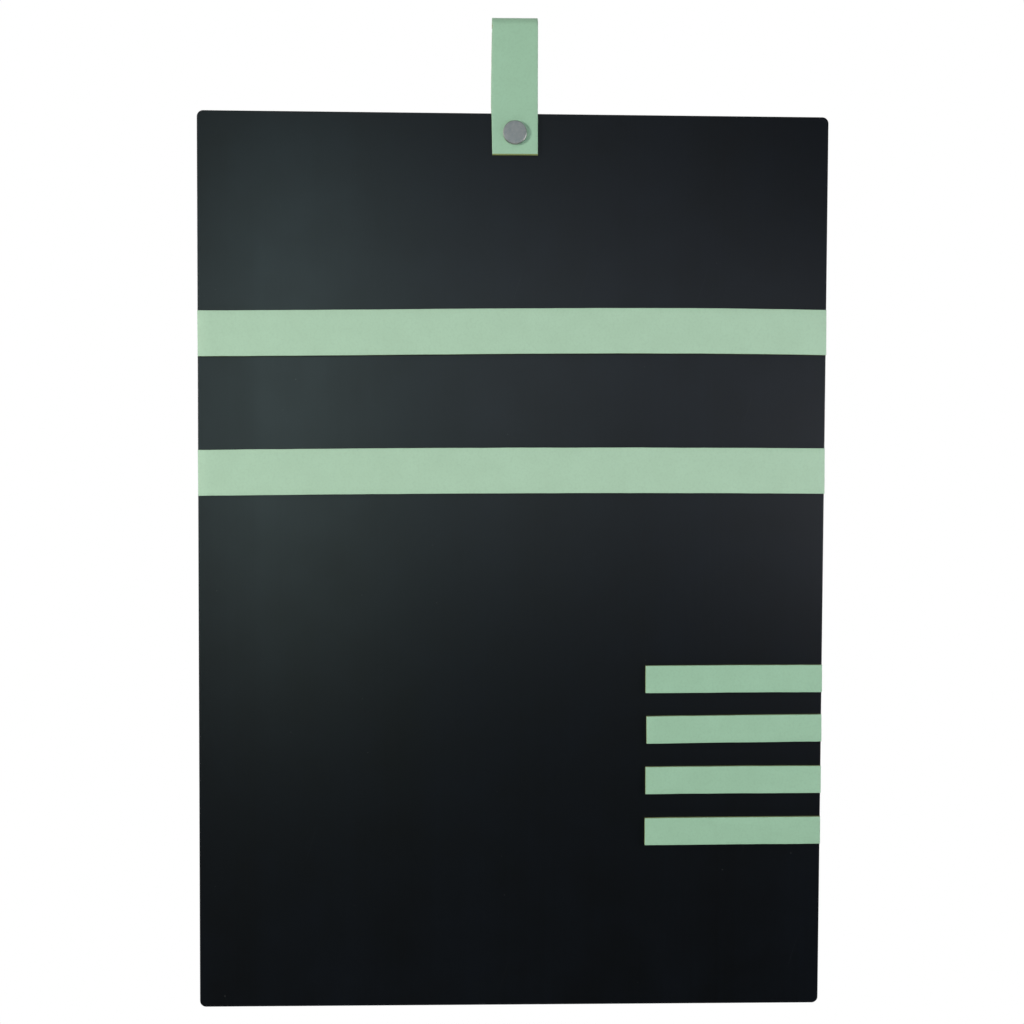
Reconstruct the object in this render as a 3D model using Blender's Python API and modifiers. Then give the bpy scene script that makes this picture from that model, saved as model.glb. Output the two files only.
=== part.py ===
"""Magnetic memo board: a steel sheet hung from a folded leather strap, with leather-faced magnetic strips.

Metres, +Z up. X runs along the board's width and the front faces -Y. The origin is the inside top
of the strap's fold, where a hook or nail carries the board.
"""
import math

import bmesh
import bpy

# Steel sheet
BOARD_WIDTH = 0.350
BOARD_HEIGHT = 0.500
BOARD_THICKNESS = 0.0015
BOARD_CORNER_RADIUS = 0.0035

# Leather, and the glue line or play between two faces that lie on each other
LEATHER_THICKNESS = 0.002
SEAT_GAP = 0.0003

# Hanging strap, measured from the stud's axis: up to the outside of the fold, down to the cut ends
HANGER_WIDTH = 0.0255
HANGER_REACH = 0.0638
HANGER_TAIL = 0.0124
FOLD_INNER_RADIUS = 0.0032
FLAT_PAST_EDGE = 0.0015

# Two-part screw stud; the drop is from the board's top edge to the stud's axis
STUD_DROP = 0.0111
STUD_HEAD_DIAMETER = 0.0125
STUD_HEAD_HEIGHT = 0.002
STUD_RIM_RADIUS = 0.0006
SCREW_DIAMETER = 0.003
BARREL_WALL = 0.0007
BORE_FLOOR = 0.001
TIP_ROOM = 0.0006
SLOT_WIDTH = 0.0012
SLOT_DEPTH = 0.0008

# Magnetic strips; the end inset is from the board's side edge to the strip's end
LONG_STRIP_WIDTH = 0.025
SHORT_STRIP_WIDTH = 0.0154
SHORT_STRIP_LENGTH = 0.0995
SHORT_STRIP_SPACING = 0.0133
STRIP_END_INSET = 0.0006
MAGNET_THICKNESS = 0.001
MAGNET_INSET = 0.001

# The strips are laid by hand. A drop is from the board's top edge to the strip's middle; a tilt is in
# degrees, right end up; a lift is off the even spacing of the short strips.
LONG_STRIPS = {
    "long_strip_upper": {"drop": 0.1207, "tilt": 0.46},
    "long_strip_lower": {"drop": 0.1978, "tilt": 0.40},
}
FIRST_SHORT_STRIP_DROP = 0.3139
SHORT_STRIPS = {
    "short_strip_1": {"lift": 0.0, "tilt": 0.22},
    "short_strip_2": {"lift": 0.0005, "tilt": 0.42},
    "short_strip_3": {"lift": 0.0003, "tilt": 0.10},
    "short_strip_4": {"lift": 0.0, "tilt": 0.05},
}

# Facets of the round shapes
CORNER_SEGMENTS = 8
ROUND_STEPS = 48
RIM_STEPS = 4
BEND_STEPS = 14
FOLD_STEPS = 18

# Places that follow from the sizes above
STUD_HEIGHT = LEATHER_THICKNESS - HANGER_REACH
BOARD_TOP = STUD_HEIGHT + STUD_DROP
BOARD_MIDDLE = BOARD_TOP - BOARD_HEIGHT / 2
BOARD_FRONT = -BOARD_THICKNESS / 2
STACK_HALF = BOARD_THICKNESS / 2 + SEAT_GAP + LEATHER_THICKNESS
HEAD_UNDERSIDE = STACK_HALF + SEAT_GAP
BORE_RADIUS = SCREW_DIAMETER / 2 + SEAT_GAP
BARREL_RADIUS = BORE_RADIUS + BARREL_WALL
HOLE_RADIUS = BARREL_RADIUS + SEAT_GAP

# Base colour, roughness and metallic value of each finish
FINISHES = {
    "blackened_steel": ((0.017, 0.021, 0.023), 0.45, 0.6),
    "mint_leather": ((0.39, 0.58, 0.42), 0.6, 0.0),
    "magnetic_tape": ((0.02, 0.02, 0.021), 0.7, 0.0),
    "nickel_stud": ((0.36, 0.36, 0.37), 0.4, 1.0),
}


def clear_scene():
    for obj in list(bpy.data.objects):
        bpy.data.objects.remove(obj, do_unlink=True)


def new_collection(name):
    collection = bpy.data.collections.new(name)
    bpy.context.scene.collection.children.link(collection)
    return collection


def new_finish(name):
    color, roughness, metallic = FINISHES[name]
    finish = bpy.data.materials.new(name)
    finish.use_nodes = True
    shader = finish.node_tree.nodes["Principled BSDF"]
    shader.inputs["Base Color"].default_value = (*color, 1.0)
    shader.inputs["Roughness"].default_value = roughness
    shader.inputs["Metallic"].default_value = metallic
    return finish


def new_empty(name, collection, parent=None):
    empty = bpy.data.objects.new(name, None)
    collection.objects.link(empty)
    empty.parent = parent
    return empty


def new_object(name, bm, collection, parent=None, finish=None):
    mesh = bpy.data.meshes.new(name)
    bm.to_mesh(mesh)
    bm.free()
    obj = bpy.data.objects.new(name, mesh)
    collection.objects.link(obj)
    obj.parent = parent
    if finish:
        mesh.materials.append(new_finish(finish))
    return obj


def block(size):
    bm = bmesh.new()
    bmesh.ops.create_cube(bm, size=1.0)
    bmesh.ops.scale(bm, vec=size, verts=bm.verts)
    return bm


def turned(profile, name, collection, parent):
    """A profile of (radius, height) points, top to bottom, turned round Z."""
    bm = bmesh.new()
    verts = [bm.verts.new((radius, 0.0, height)) for radius, height in profile]
    for upper, lower in zip(verts, verts[1:]):
        bm.edges.new((upper, lower))
    obj = new_object(name, bm, collection, parent, "nickel_stud")
    screw = obj.modifiers.new("turn", "SCREW")
    screw.steps = ROUND_STEPS
    screw.render_steps = ROUND_STEPS
    screw.use_merge_vertices = True
    screw.merge_threshold = 0.00001
    screw.use_smooth_shade = True
    return obj


def cut(obj, cutter):
    boolean = obj.modifiers.new(cutter.name, "BOOLEAN")
    boolean.operation = "DIFFERENCE"
    boolean.solver = "EXACT"
    boolean.object = cutter


def new_cutter(name, bm, collection):
    cutter = new_object(name, bm, collection)
    cutter.hide_render = True
    cutter.display_type = "WIRE"
    return cutter


def stud_hole_cutter(collection):
    bm = bmesh.new()
    bmesh.ops.create_cone(bm, cap_ends=True, segments=ROUND_STEPS, radius1=HOLE_RADIUS,
                          radius2=HOLE_RADIUS, depth=4 * HEAD_UNDERSIDE)
    cutter = new_cutter("stud_hole_cutter", bm, collection)
    cutter.location = (0.0, 0.0, STUD_HEIGHT)
    cutter.rotation_euler = (math.pi / 2, 0.0, 0.0)
    return cutter


def steel_board(collection, parent, hole):
    bm = block((BOARD_WIDTH, BOARD_THICKNESS, BOARD_HEIGHT))
    corners = [edge for edge in bm.edges if edge.verts[0].co.xz == edge.verts[1].co.xz]
    bmesh.ops.bevel(bm, geom=corners, offset=BOARD_CORNER_RADIUS, segments=CORNER_SEGMENTS,
                    profile=0.5, affect="EDGES")
    board = new_object("steel_board", bm, collection, parent, "blackened_steel")
    board.location = (0.0, 0.0, BOARD_MIDDLE - STUD_HEIGHT)
    cut(board, hole)
    return board


def front_leg():
    """Middle line of the strap's front leg as (y, z) points, cut end first, up to where the fold starts."""
    leg = STACK_HALF - LEATHER_THICKNESS / 2
    fold = FOLD_INNER_RADIUS + LEATHER_THICKNESS / 2
    bend_start = BOARD_TOP + FLAT_PAST_EDGE
    bend_end = -FOLD_INNER_RADIUS
    points = [(-leg, STUD_HEIGHT - HANGER_TAIL)]
    for step in range(BEND_STEPS + 1):
        t = step / BEND_STEPS
        ease = t * t * (3 - 2 * t)
        points.append((-leg - (fold - leg) * ease, bend_start + (bend_end - bend_start) * t))
    return points


def strap_path():
    """Middle line of the whole strap: front leg, half-round fold, back leg."""
    front = front_leg()
    fold = FOLD_INNER_RADIUS + LEATHER_THICKNESS / 2
    turns = [math.pi * step / FOLD_STEPS for step in range(1, FOLD_STEPS)]
    top = [(-fold * math.cos(a), fold * math.sin(a) - FOLD_INNER_RADIUS) for a in turns]
    back = [(-y, z) for y, z in reversed(front)]
    return front + top + back


def hanger_strap(collection, parent, hole):
    bm = bmesh.new()
    verts = [bm.verts.new((-HANGER_WIDTH / 2, y, z)) for y, z in strap_path()]
    edges = [bm.edges.new(pair) for pair in zip(verts, verts[1:])]
    swept = bmesh.ops.extrude_edge_only(bm, edges=edges)["geom"]
    far_side = [item for item in swept if isinstance(item, bmesh.types.BMVert)]
    bmesh.ops.translate(bm, verts=far_side, vec=(HANGER_WIDTH, 0.0, 0.0))
    bmesh.ops.recalc_face_normals(bm, faces=bm.faces)
    strap = new_object("hanger_strap", bm, collection, parent, "mint_leather")
    solidify = strap.modifiers.new("hide", "SOLIDIFY")
    solidify.thickness = LEATHER_THICKNESS
    solidify.offset = 0.0
    solidify.use_even_offset = True
    cut(strap, hole)
    return strap


def head_profile():
    """Head of either half of the stud: flat face, rounded rim, side, underside out to in."""
    radius = STUD_HEAD_DIAMETER / 2
    face = HEAD_UNDERSIDE + STUD_HEAD_HEIGHT
    rim = min(STUD_RIM_RADIUS, STUD_HEAD_HEIGHT / 2)
    points = [(0.0, face)]
    for step in range(RIM_STEPS + 1):
        angle = math.pi / 2 * step / RIM_STEPS
        points.append((radius - rim + rim * math.sin(angle), face - rim + rim * math.cos(angle)))
    return points + [(radius, HEAD_UNDERSIDE)]


def stud_post(collection, parent):
    bore_end = HEAD_UNDERSIDE - BORE_FLOOR
    barrel = [(BARREL_RADIUS, HEAD_UNDERSIDE), (BARREL_RADIUS, -STACK_HALF)]
    bore = [(BORE_RADIUS, -STACK_HALF), (BORE_RADIUS, bore_end), (0.0, bore_end)]
    post = turned(head_profile() + barrel + bore, "stud_post", collection, parent)
    post.rotation_euler = (math.pi / 2, 0.0, 0.0)
    return post


def stud_screw(collection, parent, cutters):
    tip = BORE_FLOOR + TIP_ROOM - HEAD_UNDERSIDE
    shank = [(SCREW_DIAMETER / 2, HEAD_UNDERSIDE), (SCREW_DIAMETER / 2, tip), (0.0, tip)]
    screw = turned(head_profile() + shank, "stud_screw", collection, parent)
    screw.rotation_euler = (-math.pi / 2, 0.0, 0.0)
    slot = new_cutter("slot_cutter", block((2 * STUD_HEAD_DIAMETER, 2 * SLOT_DEPTH, SLOT_WIDTH)), cutters)
    slot.location = (0.0, HEAD_UNDERSIDE + STUD_HEAD_HEIGHT, STUD_HEIGHT)
    cut(screw, slot)
    return screw


def magnetic_strip(name, length, width, place, tilt, collection, parent):
    """Leather face on magnetic tape, both carried by an empty on the board's front face."""
    carrier = new_empty(name + "_carrier", collection, parent)
    carrier.location = (place[0], BOARD_FRONT, place[1] - STUD_HEIGHT)
    carrier.rotation_euler = (0.0, -math.radians(tilt), 0.0)
    tape_size = (length - 2 * MAGNET_INSET, MAGNET_THICKNESS, width - 2 * MAGNET_INSET)
    tape = new_object(name + "_magnet", block(tape_size), collection, carrier, "magnetic_tape")
    tape.location.y = -SEAT_GAP - MAGNET_THICKNESS / 2
    face_size = (length, LEATHER_THICKNESS, width)
    face = new_object(name + "_leather", block(face_size), collection, carrier, "mint_leather")
    face.location.y = -2 * SEAT_GAP - MAGNET_THICKNESS - LEATHER_THICKNESS / 2


def magnetic_strips(collection, parent):
    long_length = BOARD_WIDTH - 2 * STRIP_END_INSET
    for name, lay in LONG_STRIPS.items():
        height = BOARD_TOP - lay["drop"]
        magnetic_strip(name, long_length, LONG_STRIP_WIDTH, (0.0, height), lay["tilt"], collection, parent)
    column = BOARD_WIDTH / 2 - STRIP_END_INSET - SHORT_STRIP_LENGTH / 2
    height = BOARD_TOP - FIRST_SHORT_STRIP_DROP
    for name, lay in SHORT_STRIPS.items():
        place = (column, height + lay["lift"])
        magnetic_strip(name, SHORT_STRIP_LENGTH, SHORT_STRIP_WIDTH, place, lay["tilt"], collection, parent)
        height -= SHORT_STRIP_WIDTH + SHORT_STRIP_SPACING


def build():
    clear_scene()
    pieces = new_collection("magnetic_memo_board")
    cutters = new_collection("cutters")
    hang_point = new_empty("hang_point", pieces)
    stud_axis = new_empty("stud_axis", pieces, hang_point)
    stud_axis.location.z = STUD_HEIGHT
    hole = stud_hole_cutter(cutters)
    hanger_strap(pieces, hang_point, hole)
    steel_board(pieces, stud_axis, hole)
    stud_post(pieces, stud_axis)
    stud_screw(pieces, stud_axis, cutters)
    magnetic_strips(pieces, stud_axis)


build()
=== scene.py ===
import math

import bmesh
import bpy
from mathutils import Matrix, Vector


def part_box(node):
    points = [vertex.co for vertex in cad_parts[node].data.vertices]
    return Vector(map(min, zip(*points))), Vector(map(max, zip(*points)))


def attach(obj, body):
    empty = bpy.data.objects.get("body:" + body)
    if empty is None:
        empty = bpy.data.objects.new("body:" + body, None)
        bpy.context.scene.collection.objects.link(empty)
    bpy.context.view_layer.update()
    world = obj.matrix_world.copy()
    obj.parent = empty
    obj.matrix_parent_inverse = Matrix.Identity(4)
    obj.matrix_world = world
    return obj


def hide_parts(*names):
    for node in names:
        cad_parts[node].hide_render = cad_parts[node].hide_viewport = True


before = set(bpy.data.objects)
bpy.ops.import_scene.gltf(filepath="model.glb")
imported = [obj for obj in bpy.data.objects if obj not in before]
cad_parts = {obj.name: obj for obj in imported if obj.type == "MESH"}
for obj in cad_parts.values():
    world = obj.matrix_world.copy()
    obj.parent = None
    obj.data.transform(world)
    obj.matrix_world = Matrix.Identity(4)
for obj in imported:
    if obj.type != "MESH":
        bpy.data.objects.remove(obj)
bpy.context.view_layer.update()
mm = 0.001
ringReach = 0.01 * mm  # points this close along an axis make one ring
mergeReach = 0.001 * mm  # doubles closer than this are merged
straight = 0.99  # how true an edge or a flat face has to lie to its axis
facing = 0.9  # how squarely a face has to look along an axis
leaning = 0.7  # the same for faces that turn with a fold
noiseLow, noiseHigh = 0.3, 0.7  # the usual reach of a noise texture
bevelAngle = math.radians(40)  # sharper edges than this get rounded
shadeAngle = 35  # degrees, flatter creases are shaded smooth
print("frame loaded:", len(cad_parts), "nodes")


# small tools: colours, nodes, selection and modifiers
def hexToLinear(code):  # undoes the sRGB curve
    shares = [int(code[i:i + 2], 16) / 255 for i in (1, 3, 5)]
    linear = [s / 12.92 if s <= 0.04045 else ((s + 0.055) / 1.055) ** 2.4 for s in shares]
    return (*linear, 1.0)


def addNode(tree, kind, settings):  # a colour Mix takes inputs 0, 6 and 7 and gives output 2
    node = tree.nodes.new(kind)
    for key, value in settings.items():
        if isinstance(value, bpy.types.NodeSocket):
            tree.links.new(value, node.inputs[key])
        elif isinstance(key, int) or key in node.inputs:
            node.inputs[key].default_value = value
        else:
            setattr(node, key, value)
    return node


def newMaterial(name):
    material = bpy.data.materials.new(name)
    material.use_nodes = True
    material.node_tree.nodes.clear()
    return material, material.node_tree


def startPiece(name, operator, **settings):
    bpy.ops.object.select_all(action="DESELECT")
    operator(**settings)
    piece = bpy.context.object
    piece.name = name
    piece.data.name = name
    bpy.ops.object.transform_apply(location=True, rotation=True, scale=True)
    return piece


def pick(piece, kind, test):
    bpy.ops.mesh.select_mode(type=kind)
    bpy.ops.mesh.select_all(action="DESELECT")
    shape = bmesh.from_edit_mesh(piece.data)
    shape.normal_update()
    for item in {"VERT": shape.verts, "EDGE": shape.edges, "FACE": shape.faces}[kind]:
        if test(item):
            item.select_set(True)
    shape.select_flush_mode()
    bmesh.update_edit_mesh(piece.data)


def runsAlong(axis, shortest=0.0):  # edges that lie along one axis
    def test(edge):
        step = edge.verts[1].co - edge.verts[0].co
        return abs(step[axis]) > straight * step.length and step.length > shortest
    return test


def facesMeet(first, second):  # edges between two material slots
    def test(edge):
        slots = sorted(face.material_index for face in edge.link_faces)
        return slots == sorted((first, second))
    return test


def ringPlaces(piece, axis):  # where the rings of points stand along one axis
    places = []
    for value in sorted(v.co[axis] for v in bmesh.from_edit_mesh(piece.data).verts):
        if not places or value - places[-1] > ringReach:
            places.append(value)
    return places


def giveSlot(piece, index, test):
    pick(piece, "FACE", test)
    piece.active_material_index = index
    bpy.ops.object.material_slot_assign()


def selectOnly(piece):
    bpy.ops.object.select_all(action="DESELECT")
    bpy.context.view_layer.objects.active = piece
    piece.select_set(True)


def editPiece(piece):
    selectOnly(piece)
    bpy.ops.object.mode_set(mode="EDIT")


def leaveEdit():
    bpy.ops.mesh.select_all(action="SELECT")
    bpy.ops.mesh.remove_doubles(threshold=mergeReach)
    bpy.ops.mesh.normals_make_consistent(inside=False)
    bpy.ops.object.mode_set(mode="OBJECT")


def applyModifier(piece, kind, settings):
    modifier = piece.modifiers.new(kind.lower(), kind)
    for key, value in settings.items():
        setattr(modifier, key, value)
    bpy.context.view_layer.objects.active = piece
    bpy.ops.object.modifier_apply(modifier=modifier.name)


def cutWith(piece, cutter):
    applyModifier(piece, "BOOLEAN", {"operation": "DIFFERENCE", "solver": "EXACT", "object": cutter})
    bpy.data.objects.remove(cutter)


def smoothPiece(piece, degrees):
    selectOnly(piece)
    bpy.ops.object.shade_smooth_by_angle(angle=math.radians(degrees))


def seenRays(tree):  # 1 for what is seen straight, mirrored or through glass, 0 for light that bounces
    rays = addNode(tree, "ShaderNodeLightPath", {})
    seen = addNode(tree, "ShaderNodeMath", {
        "operation": "MAXIMUM", 0: rays.outputs["Is Camera Ray"], 1: rays.outputs["Is Glossy Ray"]})
    return addNode(tree, "ShaderNodeMath", {
        "operation": "MAXIMUM", 0: seen.outputs[0], 1: rays.outputs["Is Transmission Ray"]}).outputs[0]


# materials
def makeLeather(name, spec):
    # pigment coated cowhide with a plated, smooth grain: an even chalky green with a soft sheen
    material, tree = newMaterial(name)
    place = addNode(tree, "ShaderNodeTexCoord", {}).outputs["Object"]
    mottle = addNode(tree, "ShaderNodeTexNoise", {
        "Vector": place, "Scale": 1 / spec["mottle"], "Detail": 4.0, "Roughness": 0.6})
    grain = addNode(tree, "ShaderNodeTexVoronoi", {
        "Vector": place, "Scale": 1 / spec["grain"], "Randomness": 1.0})
    pores = addNode(tree, "ShaderNodeTexNoise", {
        "Vector": place, "Scale": 1 / spec["pore"], "Detail": 2.0})
    share = addNode(tree, "ShaderNodeMapRange", {
        "Value": mottle.outputs["Fac"], "From Min": noiseLow, "From Max": noiseHigh})
    tint = addNode(tree, "ShaderNodeMix", {
        "data_type": "RGBA", 0: share.outputs["Result"],
        6: hexToLinear(spec["colour"]), 7: hexToLinear(spec["paleColour"])})
    sunk = addNode(tree, "ShaderNodeMapRange", {
        "Value": grain.outputs["Distance"], "From Min": spec["poreFrom"], "From Max": spec["poreTo"],
        "To Max": spec["poreShare"]})
    colour = addNode(tree, "ShaderNodeMix", {
        "data_type": "RGBA", 0: sunk.outputs["Result"],
        6: tint.outputs[2], 7: hexToLinear(spec["poreColour"])})
    height = addNode(tree, "ShaderNodeMath", {
        "operation": "MULTIPLY_ADD", 0: grain.outputs["Distance"], 1: -spec["grainSink"],
        2: pores.outputs["Fac"]})
    bump = addNode(tree, "ShaderNodeBump", {
        "Strength": spec["relief"], "Distance": spec["reliefDepth"], "Height": height.outputs[0]})
    gloss = addNode(tree, "ShaderNodeMapRange", {
        "Value": mottle.outputs["Fac"], "From Min": noiseLow, "From Max": noiseHigh,
        "To Min": spec["roughness"] - spec["glossSwing"], "To Max": spec["roughness"] + spec["glossSwing"]})
    shader = addNode(tree, "ShaderNodeBsdfPrincipled", {
        "Base Color": colour.outputs[2], "Roughness": gloss.outputs["Result"],
        "IOR": 1.5, "Normal": bump.outputs["Normal"]})
    addNode(tree, "ShaderNodeOutputMaterial", {"Surface": shader.outputs["BSDF"]})
    return material


def makeFibre(name, spec):
    # undyed leather core and flesh side: dull tan, matted fibres
    material, tree = newMaterial(name)
    place = addNode(tree, "ShaderNodeTexCoord", {}).outputs["Object"]
    fibre = addNode(tree, "ShaderNodeTexNoise", {
        "Vector": place, "Scale": 1 / spec["fibre"], "Detail": 5.0, "Roughness": 0.7, "Distortion": 0.6})
    share = addNode(tree, "ShaderNodeMapRange", {
        "Value": fibre.outputs["Fac"], "From Min": noiseLow, "From Max": noiseHigh})
    colour = addNode(tree, "ShaderNodeMix", {
        "data_type": "RGBA", 0: share.outputs["Result"],
        6: hexToLinear(spec["colour"]), 7: hexToLinear(spec["paleColour"])})
    gloss = addNode(tree, "ShaderNodeMapRange", {
        "Value": fibre.outputs["Fac"], "To Min": spec["sleek"], "To Max": spec["dull"]})
    bump = addNode(tree, "ShaderNodeBump", {
        "Strength": spec["relief"], "Distance": spec["reliefDepth"], "Height": fibre.outputs["Fac"]})
    shader = addNode(tree, "ShaderNodeBsdfPrincipled", {
        "Base Color": colour.outputs[2], "Roughness": gloss.outputs["Result"],
        "IOR": 1.45, "Normal": bump.outputs["Normal"]})
    addNode(tree, "ShaderNodeOutputMaterial", {"Surface": shader.outputs["BSDF"]})
    return material


leatherSpec = {
    "colour": "#9fc5a7", "paleColour": "#a3caac", "poreColour": "#94ba9c",
    "mottle": 14 * mm,
    "grain": 1.2 * mm,  # real grain is about 0.7 mm, drawn coarser to show
    "pore": 0.5 * mm,
    "poreFrom": 0.45, "poreTo": 0.85, "poreShare": 0.3,  # where a grain cell turns to its sunk, darker rim
    "relief": 0.25, "reliefDepth": 0.1 * mm, "grainSink": 0.7,
    "roughness": 0.5, "glossSwing": 0.04,
}
# painted light: the long strips' leather is painted paler than the rest, standing in for the stronger light
# that falls on them
leatherSpecPaintedLit = dict(leatherSpec, colour="#b0cfb3", paleColour="#b4d4b8", poreColour="#a5c4a8")
edgeSpec = {  # dye has run into the cut
    "colour": "#76804a", "paleColour": "#9ba66f", "fibre": 0.7 * mm,
    "relief": 0.6, "reliefDepth": 0.15 * mm,
    "sleek": 0.8, "dull": 0.98,  # roughness of flattened and of raised fibres
}
fleshSpec = dict(edgeSpec, colour="#a38a63", paleColour="#c0a980", fibre=1.5 * mm)
mintLeather = makeLeather("mintLeather", leatherSpec)
mintLeatherPaintedLit = makeLeather("mintLeatherPaintedLit", leatherSpecPaintedLit)
rawLeatherEdge = makeFibre("rawLeatherEdge", edgeSpec)
leatherFleshSide = makeFibre("leatherFleshSide", fleshSpec)


def makeBlackSteel(name, spec):
    # steel sheet under thin black lacquer: near black with a blue cast and a soft satin gloss,
    # straight rolling lines, wipe marks and cloudy smudges, faint hairlines and specks, edges rubbed paler
    material, tree = newMaterial(name)
    place = addNode(tree, "ShaderNodeTexCoord", {}).outputs["Object"]
    lineMap = addNode(tree, "ShaderNodeMapping", {
        "Vector": place, "Scale": (1 / spec["lineWidth"], 1, 1 / spec["lineLength"])})
    lines = addNode(tree, "ShaderNodeTexNoise", {
        "Vector": lineMap.outputs["Vector"], "Scale": 1.0, "Detail": 1.0})
    wipeMap = addNode(tree, "ShaderNodeMapping", {
        "Vector": place, "Scale": (1 / spec["wipeWidth"], 1, 1 / spec["wipeLength"])})
    wipes = addNode(tree, "ShaderNodeTexNoise", {
        "Vector": wipeMap.outputs["Vector"], "Scale": 1.0, "Detail": 2.0})
    smudges = addNode(tree, "ShaderNodeTexNoise", {
        "Vector": place, "Scale": 1 / spec["smudge"], "Detail": 4.0, "Roughness": 0.6})
    hazy = addNode(tree, "ShaderNodeMath", {
        "operation": "ADD", 0: wipes.outputs["Fac"], 1: smudges.outputs["Fac"]})
    handled = addNode(tree, "ShaderNodeMath", {
        "operation": "MULTIPLY_ADD", 0: lines.outputs["Fac"], 1: spec["lineShare"], 2: hazy.outputs[0]})
    share = addNode(tree, "ShaderNodeMapRange", {
        "Value": handled.outputs[0], "From Min": spec["hazeFrom"], "From Max": spec["hazeTo"]})
    marked = addNode(tree, "ShaderNodeMix", {
        "data_type": "RGBA", 0: share.outputs["Result"],
        6: hexToLinear(spec["colour"]), 7: hexToLinear(spec["paleColour"])})

    for mark in (spec["hairline"], spec["speck"]):  # a few cells out of many hold a mark
        markMap = addNode(tree, "ShaderNodeMapping", {
            "vector_type": "TEXTURE", "Vector": place,
            "Rotation": (math.pi / 2, math.radians(mark["lean"]), 0),  # lays the cells flat on the face
            "Scale": (mark["across"], mark["along"], 1.0)})
        cells = addNode(tree, "ShaderNodeTexVoronoi", {
            "voronoi_dimensions": "2D", "Vector": markMap.outputs["Vector"], "Scale": 1.0})
        reach = mark["halfWidth"] / mark["across"]
        within = addNode(tree, "ShaderNodeMapRange", {
            "Value": cells.outputs["Distance"], "From Min": reach / 2, "From Max": reach,  # soft rim
            "To Min": mark["strength"], "To Max": 0.0})
        lot = addNode(tree, "ShaderNodeSeparateColor", {"Color": cells.outputs["Color"]})
        few = addNode(tree, "ShaderNodeMapRange", {
            "Value": lot.outputs[0], "From Min": mark["rarity"], "From Max": 1.0})
        drawn = addNode(tree, "ShaderNodeMath", {
            "operation": "MULTIPLY", 0: within.outputs["Result"], 1: few.outputs["Result"]})
        marked = addNode(tree, "ShaderNodeMix", {
            "data_type": "RGBA", 0: drawn.outputs[0],
            6: marked.outputs[2], 7: hexToLinear(mark["colour"])})

    apart = addNode(tree, "ShaderNodeSeparateXYZ", {"Vector": place})
    sideways = addNode(tree, "ShaderNodeMath", {"operation": "ABSOLUTE", 0: apart.outputs["X"]})
    raised = addNode(tree, "ShaderNodeMath", {
        "operation": "SUBTRACT", 0: apart.outputs["Z"], 1: boardCentre.z})
    upDown = addNode(tree, "ShaderNodeMath", {"operation": "ABSOLUTE", 0: raised.outputs[0]})
    nearSide = addNode(tree, "ShaderNodeMapRange", {
        "Value": sideways.outputs[0], "From Min": boardHigh.x - spec["wearReach"], "From Max": boardHigh.x})
    halfHeight = boardHigh.z - boardCentre.z
    nearEnd = addNode(tree, "ShaderNodeMapRange", {
        "Value": upDown.outputs[0], "From Min": halfHeight - spec["wearReach"], "From Max": halfHeight})
    rim = addNode(tree, "ShaderNodeMath", {
        "operation": "MAXIMUM", 0: nearSide.outputs["Result"], 1: nearEnd.outputs["Result"]})
    rubs = addNode(tree, "ShaderNodeTexNoise", {
        "Vector": place, "Scale": 1 / spec["rubSize"], "Detail": 4.0, "Roughness": 0.7})
    rubbed = addNode(tree, "ShaderNodeMapRange", {
        "Value": rubs.outputs["Fac"], "From Min": spec["rubFrom"], "From Max": spec["rubTo"],
        "To Max": spec["rubShare"]})
    worn = addNode(tree, "ShaderNodeMath", {
        "operation": "MULTIPLY", 0: rim.outputs[0], 1: rubbed.outputs["Result"]})
    colour = addNode(tree, "ShaderNodeMix", {
        "data_type": "RGBA", 0: worn.outputs[0],
        6: marked.outputs[2], 7: hexToLinear(spec["bareColour"])})

    gloss = addNode(tree, "ShaderNodeMapRange", {
        "Value": handled.outputs[0], "From Min": spec["hazeFrom"], "From Max": spec["hazeTo"],
        "To Min": spec["roughness"] + spec["glossSwing"], "To Max": spec["roughness"] - spec["glossSwing"]})
    bump = addNode(tree, "ShaderNodeBump", {
        "Strength": spec["relief"], "Distance": spec["reliefDepth"], "Height": lines.outputs["Fac"]})
    shader = addNode(tree, "ShaderNodeBsdfPrincipled", {
        "Base Color": colour.outputs[2], "Roughness": gloss.outputs["Result"], "IOR": 1.45,
        "Normal": bump.outputs["Normal"]})
    addNode(tree, "ShaderNodeOutputMaterial", {"Surface": shader.outputs["BSDF"]})
    return material


boardLow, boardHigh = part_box("steel_board")
boardCentre = (boardLow + boardHigh) / 2
steelSpec = {
    "colour": "#06080b", "paleColour": "#0e1218", "bareColour": "#3c4144",
    "lineWidth": 2.0 * mm, "lineLength": 900 * mm,  # real rolling lines are finer, drawn coarser to show
    "wipeWidth": 50 * mm, "wipeLength": 400 * mm, "smudge": 26 * mm,
    "lineShare": 0.4, "hazeFrom": 0.8, "hazeTo": 1.6,  # how lines, wipes and smudges add up
    "hairline": {  # real ones are finer, drawn coarser to show; lean in degrees
        "across": 9 * mm, "along": 540 * mm, "lean": 17, "halfWidth": 0.22 * mm,
        "colour": "#3c4144", "strength": 0.14, "rarity": 0.55},
    "speck": {  # dust
        "across": 40 * mm, "along": 40 * mm, "lean": 0, "halfWidth": 0.4 * mm,
        "colour": "#9a9b99", "strength": 0.14, "rarity": 0.7},
    "wearReach": 0.6 * mm, "rubSize": 9 * mm, "rubFrom": 0.42, "rubTo": 0.68, "rubShare": 0.8,
    "relief": 0.4, "reliefDepth": 0.05 * mm,
    "roughness": 0.305, "glossSwing": 0.022,
}
blackLacqueredSteel = makeBlackSteel("blackLacqueredSteel", steelSpec)


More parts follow.
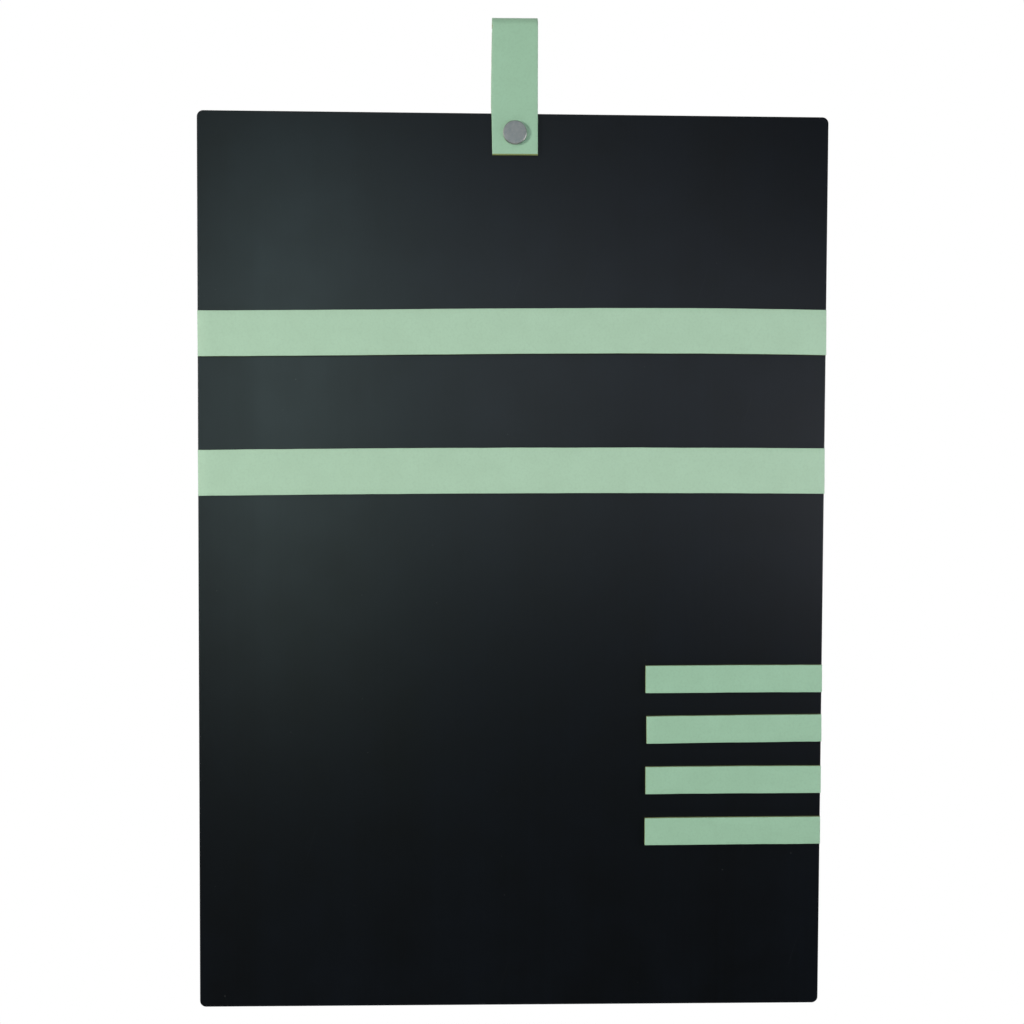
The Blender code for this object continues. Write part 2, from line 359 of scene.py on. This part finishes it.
def makeNickel(name, spec):
    # matt nickel plate over turned brass: soft grey, faint turning rings, handling scuffs
    material, tree = newMaterial(name)
    place = addNode(tree, "ShaderNodeTexCoord", {}).outputs["Object"]
    centred = addNode(tree, "ShaderNodeMapping", {"Vector": place, "Location": spec["shift"]})
    rings = addNode(tree, "ShaderNodeTexWave", {
        "wave_type": "RINGS", "rings_direction": "Y", "Vector": centred.outputs["Vector"],
        "Scale": 2 * math.pi / (waveRate * spec["ringPitch"]), "Distortion": 0.5})
    scuffs = addNode(tree, "ShaderNodeTexNoise", {
        "Vector": place, "Scale": 1 / spec["scuff"], "Detail": 6.0, "Roughness": 0.7})
    share = addNode(tree, "ShaderNodeMapRange", {
        "Value": scuffs.outputs["Fac"], "From Min": spec["scuffFrom"], "From Max": spec["scuffTo"]})
    colour = addNode(tree, "ShaderNodeMix", {
        "data_type": "RGBA", 0: share.outputs["Result"],
        6: hexToLinear(spec["colour"]), 7: hexToLinear(spec["paleColour"])})
    gloss = addNode(tree, "ShaderNodeMapRange", {
        "Value": scuffs.outputs["Fac"], "From Min": noiseLow, "From Max": noiseHigh,
        "To Min": spec["roughness"] - spec["glossSwing"], "To Max": spec["roughness"] + spec["glossSwing"]})
    bump = addNode(tree, "ShaderNodeBump", {
        "Strength": spec["relief"], "Distance": spec["reliefDepth"], "Height": rings.outputs["Fac"]})
    shader = addNode(tree, "ShaderNodeBsdfPrincipled", {
        "Base Color": colour.outputs[2], "Metallic": 1.0,
        "Roughness": gloss.outputs["Result"], "Normal": bump.outputs["Normal"]})
    addNode(tree, "ShaderNodeOutputMaterial", {"Surface": shader.outputs["BSDF"]})
    return material


studLow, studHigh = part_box("stud_post")
studCentre = (studLow + studHigh) / 2
waveRate = 20  # built into the wave texture
nickelSpec = {
    "colour": "#adadad", "paleColour": "#c2bebb",
    "ringPitch": 0.6 * mm,  # real turning marks are finer, drawn coarser to show
    "scuff": 1.8 * mm, "scuffFrom": 0.35, "scuffTo": 0.65,
    "relief": 0.15, "reliefDepth": 0.02 * mm,
    "roughness": 0.42, "glossSwing": 0.06,
    "shift": (-studCentre.x, 0.0, -studCentre.z),  # rings run round the stud's axis
}
mattNickel = makeNickel("mattNickel", nickelSpec)


def makeTape(name, spec):
    # extruded ferrite rubber: dull brown black with faint drawing lines along it
    material, tree = newMaterial(name)
    place = addNode(tree, "ShaderNodeTexCoord", {}).outputs["Object"]
    lineMap = addNode(tree, "ShaderNodeMapping", {
        "Vector": place, "Scale": (1 / spec["lineLength"], 1 / spec["lineWidth"], 1 / spec["lineWidth"])})
    lines = addNode(tree, "ShaderNodeTexNoise", {
        "Vector": lineMap.outputs["Vector"], "Scale": 1.0, "Detail": 3.0})
    colour = addNode(tree, "ShaderNodeMix", {
        "data_type": "RGBA", 0: lines.outputs["Fac"],
        6: hexToLinear(spec["colour"]), 7: hexToLinear(spec["paleColour"])})
    gloss = addNode(tree, "ShaderNodeMapRange", {
        "Value": lines.outputs["Fac"], "To Min": spec["sleek"], "To Max": spec["dull"]})
    bump = addNode(tree, "ShaderNodeBump", {
        "Strength": spec["relief"], "Distance": spec["reliefDepth"], "Height": lines.outputs["Fac"]})
    shader = addNode(tree, "ShaderNodeBsdfPrincipled", {
        "Base Color": colour.outputs[2], "Roughness": gloss.outputs["Result"],
        "IOR": 1.5, "Normal": bump.outputs["Normal"]})
    addNode(tree, "ShaderNodeOutputMaterial", {"Surface": shader.outputs["BSDF"]})
    return material


tapeSpec = {
    "colour": "#151312", "paleColour": "#2a2624",
    "lineWidth": 0.6 * mm, "lineLength": 25 * mm,
    "relief": 0.3, "reliefDepth": 0.05 * mm,
    "sleek": 0.5, "dull": 0.75,  # roughness
}
magneticTape = makeTape("magneticTape", tapeSpec)
print("materials made")

# steel sheet
boardSpec = {
    "cornerRadius": 3.5 * mm, "cornerSteps": 12,
    "edgeRound": 0.3 * mm, "edgeSteps": 3,  # edges tumbled after cutting
    "studHole": 2.8 * mm, "holeSides": 48, "holeDepth": 15 * mm,  # well through
}
boardSize = boardHigh - boardLow
board = startPiece("steelBoard", bpy.ops.mesh.primitive_cube_add, size=1.0,
                   location=boardCentre, scale=boardSize)
board.data.materials.append(blackLacqueredSteel)
editPiece(board)
pick(board, "EDGE", runsAlong(1))
bpy.ops.mesh.bevel(offset=boardSpec["cornerRadius"], segments=boardSpec["cornerSteps"], affect="EDGES")
leaveEdit()
holeCutter = startPiece("holeCutter", bpy.ops.mesh.primitive_cylinder_add,
                        vertices=boardSpec["holeSides"], radius=boardSpec["studHole"],
                        depth=boardSpec["holeDepth"], location=studCentre, rotation=(math.pi / 2, 0, 0))
cutWith(board, holeCutter)
applyModifier(board, "BEVEL", {
    "width": boardSpec["edgeRound"], "segments": boardSpec["edgeSteps"],
    "limit_method": "ANGLE", "angle_limit": bevelAngle})
editPiece(board)
pick(board, "FACE", lambda face: abs(face.normal.y) > straight)
bpy.ops.mesh.inset(thickness=boardSpec["edgeRound"])  # keeps the flat faces flat under smooth shading
leaveEdit()
smoothPiece(board, shadeAngle)
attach(board, "board")
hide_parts("steel_board")
print("steel sheet made")

# leather hanger
hangerSpec = {
    "thickness": 2.25 * mm, "foldRadius": 2.95 * mm, "foldSteps": 24,
    "seatGap": 0.05 * mm,  # leather to sheet
    "flatPastEdge": 1.5 * mm,  # where the legs leave the sheet
    "foldDrop": 0.45 * mm, "tailTrim": 0.4 * mm,  # both ends of the loop lie a little short
    "twist": 0.3,  # degrees, hung slightly askew
    "leftEdge": (  # hand cut: mm above the stud, mm that the edge lies in
        (-14, 0.34), (-5, 0.2), (5, 0.03), (18, -0.32), (29, -0.2), (40, 0.0), (58, 0.27)),
    "edgeReach": 1.2 * mm,  # how much of the strap the hand cut moves
    "legCuts": 43, "widthCuts": 11,
    "grainRound": 0.3 * mm, "tailRound": 0.6 * mm, "roundSteps": 3,
    "fleshRound": 0.15 * mm,
    "studHole": 2.8 * mm, "holeSides": 48, "holeDepth": 20 * mm,  # through both legs
    "shadeAngle": 50,  # degrees, so that the fold is shaded smooth
}
hangerLow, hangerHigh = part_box("hanger_strap")
strapWidth = hangerHigh.x - hangerLow.x
foldHeight = hangerHigh.z - hangerSpec["foldDrop"] - hangerSpec["thickness"] - hangerSpec["foldRadius"]
tailHeight = hangerLow.z + hangerSpec["tailTrim"]
legLength = foldHeight - tailHeight
legMiddle = hangerSpec["foldRadius"] + hangerSpec["thickness"] / 2
seat = boardHigh.y + hangerSpec["seatGap"]
bendStart = boardHigh.z + hangerSpec["flatPastEdge"]
hanger = startPiece(
    "hangerStrap", bpy.ops.mesh.primitive_cube_add, size=1.0,
    location=(0, -legMiddle, tailHeight + legLength / 2),
    scale=(strapWidth, hangerSpec["thickness"], legLength))
for leather in (mintLeather, rawLeatherEdge, leatherFleshSide):
    hanger.data.materials.append(leather)
editPiece(hanger)
pick(hanger, "FACE", lambda face: face.normal.z > facing)
bpy.ops.mesh.spin(steps=hangerSpec["foldSteps"], angle=math.pi, center=(0, 0, foldHeight), axis=(1, 0, 0))
bpy.ops.mesh.extrude_region_move(TRANSFORM_OT_translate={"value": (0, 0, -legLength)})
pick(hanger, "EDGE", runsAlong(2, legLength / 2))
bpy.ops.mesh.subdivide(number_cuts=hangerSpec["legCuts"])
pick(hanger, "EDGE", runsAlong(0, strapWidth / 2))
bpy.ops.mesh.subdivide(number_cuts=hangerSpec["widthCuts"])
bpy.ops.mesh.select_all(action="SELECT")
bpy.ops.mesh.normals_make_consistent(inside=False)


def towardsInside(face):  # the side that faces into the loop
    middle = face.calc_center_median()
    if middle.z > foldHeight:
        outwards = Vector((0, middle.y, middle.z - foldHeight)).normalized()
        return face.normal.dot(outwards) < -leaning
    return face.normal.y * middle.y < 0 and abs(face.normal.y) > leaning


def cutEnd(face):  # the raw ends of both legs
    return face.normal.z < -facing and face.calc_center_median().z < tailHeight + mm


def tailEdge(edge):
    return facesMeet(0, 1)(edge) and all(abs(v.co.z - tailHeight) < ringReach for v in edge.verts)


def sideEdge(edge):
    return facesMeet(0, 1)(edge) and any(abs(face.normal.x) > facing for face in edge.link_faces)


giveSlot(hanger, 1, lambda face: abs(face.normal.x) > facing or cutEnd(face))
giveSlot(hanger, 2, towardsInside)
rounds = ((tailEdge, hangerSpec["tailRound"], 1), (sideEdge, hangerSpec["grainRound"], 0))
for test, reach, slot in rounds:
    pick(hanger, "EDGE", test)
    bpy.ops.mesh.bevel(offset=reach, segments=hangerSpec["roundSteps"], affect="EDGES", material=slot)
pick(hanger, "EDGE", facesMeet(1, 2))
bpy.ops.mesh.bevel(offset=hangerSpec["fleshRound"], segments=1, affect="EDGES", material=1)


def ease(share):  # from 0 to 1 with a soft start and end
    share = min(1.0, max(0.0, share))
    return share * share * (3 - 2 * share)


def pinch(height):  # how far a leg moves in to lie on the sheet
    return (hangerSpec["foldRadius"] - seat) * (1 - ease((height - bendStart) / (foldHeight - bendStart)))


def edgeDrift(height):  # hand cut left edge, how far in it lies
    rise = (height - studCentre.z) / mm
    points = hangerSpec["leftEdge"]
    for (low, lowDrift), (high, highDrift) in zip(points, points[1:]):
        if rise <= high:
            return (lowDrift + (highDrift - lowDrift) * ease((rise - low) / (high - low))) * mm
    return points[-1][1] * mm


edgeLine = hangerLow.x + hangerSpec["edgeReach"]
for height in ringPlaces(hanger, 2):
    if height < foldHeight:
        pick(hanger, "VERT", lambda v: abs(v.co.z - height) < ringReach and v.co.x < edgeLine)
        bpy.ops.transform.translate(value=(edgeDrift(height), 0, 0))
        for side in (-1, 1):
            pick(hanger, "VERT", lambda v: abs(v.co.z - height) < ringReach and v.co.y * side > 0)
            bpy.ops.transform.translate(value=(0, -side * pinch(height), 0))
pick(hanger, "VERT", lambda v: v.co.z > foldHeight - ringReach and v.co.x < edgeLine)
bpy.ops.transform.translate(value=(edgeDrift(foldHeight), 0, 0))
bpy.ops.mesh.select_all(action="SELECT")
bpy.ops.transform.rotate(
    value=math.radians(hangerSpec["twist"]), orient_axis="Y", center_override=studCentre)
leaveEdit()
holeCutter = startPiece("holeCutter", bpy.ops.mesh.primitive_cylinder_add,
                        vertices=hangerSpec["holeSides"], radius=hangerSpec["studHole"],
                        depth=hangerSpec["holeDepth"], location=studCentre, rotation=(math.pi / 2, 0, 0))
cutWith(hanger, holeCutter)
smoothPiece(hanger, hangerSpec["shadeAngle"])
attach(hanger, "hanger")
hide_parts("hanger_strap")
print("hanger made")

# stud: flat head and hollow post in front, slotted screw behind
studSpec = {
    "sides": 96,
    "rimRound": 0.35 * mm, "rimSteps": 4, "rimFlatness": 0.29,  # nearly a flat chamfer
    "backRound": 0.2 * mm, "backSteps": 2,
    "headHeight": 2.28 * mm, "headGrow": 0.25 * mm,  # clamps down on the leather
    "crown": 0.02 * mm, "crownInset": 2.2 * mm, "crownSteps": 2,
    "postRadius": 2.5 * mm, "boreRadius": 1.8 * mm, "screwRadius": 1.5 * mm,
    "boreFloor": 1.0 * mm,
    "slotWidth": 1.2 * mm, "slotDepth": 0.8 * mm,
}
headRadius = (studHigh.x - studLow.x) / 2 + studSpec["headGrow"]


def makeStud(name, face, direction, shankLength, shankRadius):
    headMiddle = face + direction * studSpec["headHeight"] / 2
    stud = startPiece(name, bpy.ops.mesh.primitive_cylinder_add, vertices=studSpec["sides"],
                      radius=headRadius, depth=studSpec["headHeight"],
                      location=(studCentre.x, headMiddle, studCentre.z), rotation=(math.pi / 2, 0, 0))
    stud.data.materials.append(mattNickel)
    editPiece(stud)
    inner = face + direction * studSpec["headHeight"]

    def rimAt(level):
        return lambda edge: all(abs(v.co.y - level) < ringReach for v in edge.verts)

    def backRim(edge):
        outermost = min((v.co - studCentre).xz.length for v in edge.verts) > headRadius - ringReach
        return rimAt(inner)(edge) and outermost

    def frontFace(f):
        return f.normal.y * direction < -facing and abs(f.calc_center_median().y - face) < ringReach

    pick(stud, "FACE", lambda f: f.normal.y * direction > facing)
    bpy.ops.mesh.inset(thickness=headRadius - shankRadius)
    bpy.ops.mesh.extrude_region_move(TRANSFORM_OT_translate={"value": (0, direction * shankLength, 0)})
    pick(stud, "EDGE", rimAt(face))
    bpy.ops.mesh.bevel(offset=studSpec["rimRound"], segments=studSpec["rimSteps"],
                       profile=studSpec["rimFlatness"], affect="EDGES")
    pick(stud, "EDGE", backRim)
    bpy.ops.mesh.bevel(offset=studSpec["backRound"], segments=studSpec["backSteps"], affect="EDGES")
    pick(stud, "FACE", frontFace)
    crownSteps = studSpec["crownSteps"]
    for step in range(crownSteps):  # a slight dome
        rise = studSpec["crown"] * (crownSteps - step) / (crownSteps + 1)
        bpy.ops.mesh.inset(thickness=studSpec["crownInset"])
        bpy.ops.transform.translate(value=(0, -direction * rise, 0))
    return stud


postLength = studHigh.y - studLow.y - studSpec["headHeight"]
stud = makeStud("studPost", studLow.y, 1, postLength, studSpec["postRadius"])
pick(stud, "FACE", lambda f: f.normal.y > facing and f.calc_center_median().y > studHigh.y - ringReach)
bpy.ops.mesh.inset(thickness=studSpec["postRadius"] - studSpec["boreRadius"])
boreDepth = studHigh.y - studLow.y - studSpec["boreFloor"]
bpy.ops.mesh.extrude_region_move(TRANSFORM_OT_translate={"value": (0, -boreDepth, 0)})
leaveEdit()
smoothPiece(stud, shadeAngle)
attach(stud, "board")
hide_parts("stud_post")

screwLow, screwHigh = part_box("stud_screw")
screwLength = screwHigh.y - screwLow.y - studSpec["headHeight"]
screw = makeStud("studScrew", screwHigh.y, -1, screwLength, studSpec["screwRadius"])
leaveEdit()
slotSize = (3 * headRadius, 2 * studSpec["slotDepth"], studSpec["slotWidth"])  # right across the head
slotCutter = startPiece("slotCutter", bpy.ops.mesh.primitive_cube_add, size=1.0, scale=slotSize,
                        location=(studCentre.x, screwHigh.y, studCentre.z))
cutWith(screw, slotCutter)
smoothPiece(screw, shadeAngle)
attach(screw, "board")
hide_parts("stud_screw")
print("stud made")

# magnetic leather strips
stripSpec = {
    "grainRound": 0.25 * mm, "grainSteps": 3, "fleshRound": 0.1 * mm,
    "tapeRound": 0.15 * mm, "tapeSteps": 2,
    "ringStep": 7 * mm, "widthCuts": 5,
    "wobble": 0.25 * mm, "wobbleSize": 16 * mm,  # hand held cut along the edges
    "glue": 0.02 * mm, "seat": 0.03 * mm,  # what is left of the gaps once dressed
    "tapeInset": 1.0 * mm,
}
# length, width, bow at the middle and sink below the node's middle in mm,
# tilt in degrees, lean of the bow to the right
longStrips = {
    "long_strip_upper": {"size": (348.8, 25.1), "tilt": 0.46, "bow": 1.0, "lean": 0.9, "sink": 0.47},
    "long_strip_lower": {"size": (348.8, 25.4), "tilt": 0.40, "bow": 0.8, "lean": 0.1, "sink": 0.42},
}
shortStrips = {
    "short_strip_1": {"size": (99.6, 15.4), "tilt": 0.31, "bow": 0.1, "lean": 0.0, "sink": 0.18},
    "short_strip_2": {"size": (98.9, 15.4), "tilt": 0.66, "bow": 0.1, "lean": 0.0, "sink": 0.25},
    "short_strip_3": {"size": (99.2, 15.4), "tilt": 0.26, "bow": 0.1, "lean": 0.0, "sink": 0.25},
    "short_strip_4": {"size": (99.4, 15.4), "tilt": 0.30, "bow": 0.1, "lean": 0.0, "sink": 0.25},
}


def makeBar(name, length, depth, width, slots):
    bar = startPiece(name, bpy.ops.mesh.primitive_cube_add, size=1.0, scale=(length, depth, width))
    for material in slots:
        bar.data.materials.append(material)
    editPiece(bar)
    pick(bar, "EDGE", runsAlong(0))
    bpy.ops.mesh.subdivide(number_cuts=round(length / stripSpec["ringStep"]))
    pick(bar, "EDGE", runsAlong(2, width / 2))
    bpy.ops.mesh.subdivide(number_cuts=stripSpec["widthCuts"])
    return bar


def makeLeatherBar(name, length, depth, width, grain):
    bar = makeBar(name, length, depth, width, (grain, rawLeatherEdge, leatherFleshSide))
    giveSlot(bar, 1, lambda face: abs(face.normal.y) < facing)
    giveSlot(bar, 2, lambda face: face.normal.y > facing)
    pick(bar, "EDGE", facesMeet(0, 1))
    bpy.ops.mesh.bevel(
        offset=stripSpec["grainRound"], segments=stripSpec["grainSteps"], affect="EDGES", material=0)
    pick(bar, "EDGE", facesMeet(1, 2))
    bpy.ops.mesh.bevel(offset=stripSpec["fleshRound"], segments=1, affect="EDGES", material=1)
    leaveEdit()
    return bar


def makeTapeBar(name, length, depth, width):
    bar = makeBar(name, length, depth, width, (magneticTape,))
    bpy.ops.object.mode_set(mode="OBJECT")
    applyModifier(bar, "BEVEL", {
        "width": stripSpec["tapeRound"], "segments": stripSpec["tapeSteps"],
        "limit_method": "ANGLE", "angle_limit": bevelAngle})
    return bar


def layStrip(bar, length, place, strip):  # bow, tilt and move a straight bar to its place
    editPiece(bar)
    for ring in ringPlaces(bar, 0):
        along = 2 * ring / length  # -1 at the left end, 1 at the right
        lift = strip["bow"] * mm * (1 - along * along) * (1 + strip["lean"] * along)
        pick(bar, "VERT", lambda v: abs(v.co.x - ring) < ringReach)
        bpy.ops.transform.translate(value=(0, 0, lift))
    leaveEdit()
    bar.location = place
    bar.rotation_euler = (0, -math.radians(strip["tilt"]), 0)
    bpy.ops.object.transform_apply(location=True, rotation=True, scale=True)


def copyBar(bar, name):
    twin = bar.copy()
    twin.data = bar.data.copy()
    twin.name = name
    twin.data.name = name
    bpy.context.collection.objects.link(twin)
    return twin


wobble = bpy.data.textures.new("edgeWobble", "CLOUDS")
wobble.noise_scale = stripSpec["wobbleSize"]
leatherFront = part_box("long_strip_upper_leather")[0].y
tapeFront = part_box("long_strip_upper_magnet")[0].y
leatherDepth = tapeFront - stripSpec["glue"] - leatherFront
tapeDepth = boardLow.y - stripSpec["seat"] - tapeFront
inset = 2 * stripSpec["tapeInset"]
# the long strips take the leather painted paler for the stronger light on them, the short strips the plain
# mint leather
for family, grain in ((longStrips, mintLeatherPaintedLit), (shortStrips, mintLeather)):
    fullLength, fullWidth = (side * mm for side in max(strip["size"] for strip in family.values()))
    leatherBar = makeLeatherBar("leatherBar", fullLength, leatherDepth, fullWidth, grain)
    tapeBar = makeTapeBar("tapeBar", fullLength - inset, tapeDepth, fullWidth - inset)
    for body, strip in family.items():
        nodeLow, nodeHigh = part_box(body + "_leather")
        length, width = (side * mm for side in strip["size"])
        middleX = nodeHigh.x - length / 2 if family is shortStrips else (nodeLow.x + nodeHigh.x) / 2
        middleZ = (nodeLow.z + nodeHigh.z) / 2 - strip["sink"] * mm
        leather = copyBar(leatherBar, body + "_grain")
        leather.scale = (length / fullLength, 1.0, width / fullWidth)
        selectOnly(leather)
        bpy.ops.object.transform_apply(location=False, rotation=False, scale=True)
        layStrip(leather, length, (middleX, leatherFront + leatherDepth / 2, middleZ), strip)
        applyModifier(leather, "DISPLACE", {
            "texture": wobble, "texture_coords": "LOCAL", "direction": "Z",
            "strength": stripSpec["wobble"], "mid_level": 0.5})
        tape = copyBar(tapeBar, body + "_tape")
        layStrip(tape, length, (middleX, tapeFront + tapeDepth / 2, middleZ), strip)
        layers = ((leather, "_leather", "mint_leather"), (tape, "_magnet", "magnetic_tape"))
        for piece, node, slot in layers:
            smoothPiece(piece, shadeAngle)
            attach(piece, body)
            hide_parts(body + node)
    bpy.data.objects.remove(leatherBar)
    bpy.data.objects.remove(tapeBar)
print("strips made")

# floor, backdrop and light
stageSpec = {  # metres
    "floorDrop": 0.6, "floorRadius": 1.5, "floorSides": 96, "floorMiddle": (0.0, 0.4),
    "floorColour": "#e6e5e2", "paperGrain": 25 * mm, "sleek": 0.85, "dull": 0.95,  # roughness
    "floorLift": 0.3,  # whiter to the eye
    "fadeFrom": 0.45, "fadeTo": 1.15,  # lost in the backdrop far out
    "ambient": "#727272", "backdrop": "#ffffff",
    "drapeRadius": 6.0, "drapeSegments": 48, "drapeRings": 24, "drapeColour": "#0c0c0c",
}
lamps = {  # place, width and height of the soft box in metres, watts
    "lampLeft": {"place": (-1.60, -1.25, -0.04), "size": (0.45, 0.45), "power": 26.0, "tint": "#fffdf8"},
    "lampRight": {"place": (0.55, -0.55, -0.28), "size": (0.16, 0.16), "power": 1.0, "tint": "#f6f8ff"},
    "lampRim": {"place": (1.45, -0.16, -0.42), "size": (0.25, 0.8), "power": 5.0, "tint": "#ffffff"},
    "lampTop": {"place": (0.00, -0.90, 0.60), "size": (0.5, 0.2), "power": 0.7, "tint": "#ffffff"},
    "boxLeft": {"place": (-0.29, -1.25, -0.10), "size": (0.18, 0.6), "power": 0.93, "tint": "#d6fdff"},
    "boxLeftLow": {"place": (-0.29, -1.27, -0.30), "size": (0.18, 0.6), "power": 0.43, "tint": "#e4fff4"},
    "boxMiddle": {"place": (0.06, -1.25, 0.00), "size": (0.54, 0.4), "power": 0.35, "tint": "#dfeaff"},
    "boxMiddleLow": {"place": (0.06, -1.27, -0.20), "size": (0.18, 0.4), "power": 0.28, "tint": "#e8fbff"},
    "boxRight": {"place": (0.42, -1.25, -0.20), "size": (0.18, 0.4), "power": 0.36, "tint": "#e2eeff"},
    "backFill": {"place": (0.5, 2.2, 0.6), "size": (3.4, 3.4), "power": 40.0, "tint": "#ffffff"},
}
for name, lamp in lamps.items():
    bpy.ops.object.light_add(type="AREA", location=lamp["place"])
    light = bpy.context.object
    light.name = name
    light.rotation_euler = (boardCentre - light.location).to_track_quat("-Z", "Y").to_euler()
    light.data.shape = "RECTANGLE"
    light.data.size, light.data.size_y = lamp["size"]
    light.data.energy = lamp["power"]
    light.data.color = hexToLinear(lamp["tint"])[:3]
    light.visible_camera = False

floorHeight = boardLow.z - stageSpec["floorDrop"]
floorMiddle = (*stageSpec["floorMiddle"], floorHeight)
floor = startPiece("floor", bpy.ops.mesh.primitive_circle_add, vertices=stageSpec["floorSides"],
                   fill_type="NGON", radius=stageSpec["floorRadius"], location=floorMiddle)
floorPaper, tree = newMaterial("palePaper")  # seamless paper: chalk white, no gloss
place = addNode(tree, "ShaderNodeTexCoord", {}).outputs["Object"]
grainNoise = addNode(tree, "ShaderNodeTexNoise", {
    "Vector": place, "Scale": 1 / stageSpec["paperGrain"], "Detail": 3.0})
paperGloss = addNode(tree, "ShaderNodeMapRange", {
    "Value": grainNoise.outputs["Fac"], "To Min": stageSpec["sleek"], "To Max": stageSpec["dull"]})
paper = addNode(tree, "ShaderNodeBsdfPrincipled", {
    "Base Color": hexToLinear(stageSpec["floorColour"]), "Roughness": paperGloss.outputs["Result"]})
seen = seenRays(tree)
lift = addNode(tree, "ShaderNodeMath", {"operation": "MULTIPLY", 0: seen, 1: stageSpec["floorLift"]})
glow = addNode(tree, "ShaderNodeEmission", {"Strength": lift.outputs[0]})
lifted = addNode(tree, "ShaderNodeAddShader", {0: paper.outputs["BSDF"], 1: glow.outputs["Emission"]})
fromMiddle = addNode(tree, "ShaderNodeVectorMath", {"operation": "DISTANCE", 0: place, 1: floorMiddle})
fade = addNode(tree, "ShaderNodeMapRange", {
    "interpolation_type": "SMOOTHSTEP", "Value": fromMiddle.outputs["Value"],
    "From Min": stageSpec["fadeFrom"], "From Max": stageSpec["fadeTo"]})
lost = addNode(tree, "ShaderNodeMath", {"operation": "MULTIPLY", 0: fade.outputs["Result"], 1: seen})
clear = addNode(tree, "ShaderNodeBsdfTransparent", {})
surface = addNode(tree, "ShaderNodeMixShader", {
    0: lost.outputs[0], 1: lifted.outputs["Shader"], 2: clear.outputs["BSDF"]})
addNode(tree, "ShaderNodeOutputMaterial", {"Surface": surface.outputs["Shader"]})
floor.data.materials.append(floorPaper)

drape = startPiece("drape", bpy.ops.mesh.primitive_uv_sphere_add,
                   segments=stageSpec["drapeSegments"], ring_count=stageSpec["drapeRings"],
                   radius=stageSpec["drapeRadius"], location=boardCentre)
editPiece(drape)
bpy.ops.mesh.select_all(action="SELECT")
bpy.ops.mesh.bisect(plane_co=(0, 0, 0), plane_no=(0, 1, 0), clear_outer=True)
bpy.ops.object.mode_set(mode="OBJECT")
darkCloth, tree = newMaterial("darkCloth")  # dark cloth on the camera's side, seen only in reflections
cloth = addNode(tree, "ShaderNodeBsdfDiffuse", {"Color": hexToLinear(stageSpec["drapeColour"])})
addNode(tree, "ShaderNodeOutputMaterial", {"Surface": cloth.outputs["BSDF"]})
drape.data.materials.append(darkCloth)
for ray in ("visible_camera", "visible_diffuse", "visible_shadow", "visible_transmission"):
    setattr(drape, ray, False)

world = bpy.data.worlds.new("studio")
bpy.context.scene.world = world
world.use_nodes = True
tree = world.node_tree
tree.nodes.clear()
backdrop = addNode(tree, "ShaderNodeMix", {
    "data_type": "RGBA", 0: seenRays(tree),
    6: hexToLinear(stageSpec["ambient"]), 7: hexToLinear(stageSpec["backdrop"])})
sky = addNode(tree, "ShaderNodeBackground", {"Color": backdrop.outputs[2], "Strength": 1.0})
addNode(tree, "ShaderNodeOutputWorld", {"Surface": sky.outputs["Background"]})

# camera, as the photograph was taken
cameraSpec = {
    "place": (-0.0271, -0.83841, -0.2382), "turn": (87.7353, -0.2550, -1.8054),  # metres, degrees
    "lens": 52.734, "sensor": 36.0,  # mm
}
turn = [math.radians(degrees) for degrees in cameraSpec["turn"]]
bpy.ops.object.camera_add(location=cameraSpec["place"], rotation=turn)
camera = bpy.context.object
camera.data.lens = cameraSpec["lens"]
camera.data.sensor_width = cameraSpec["sensor"]
bpy.context.scene.camera = camera
bpy.context.scene.view_settings.view_transform = "Standard"
print("stage, light and camera set")
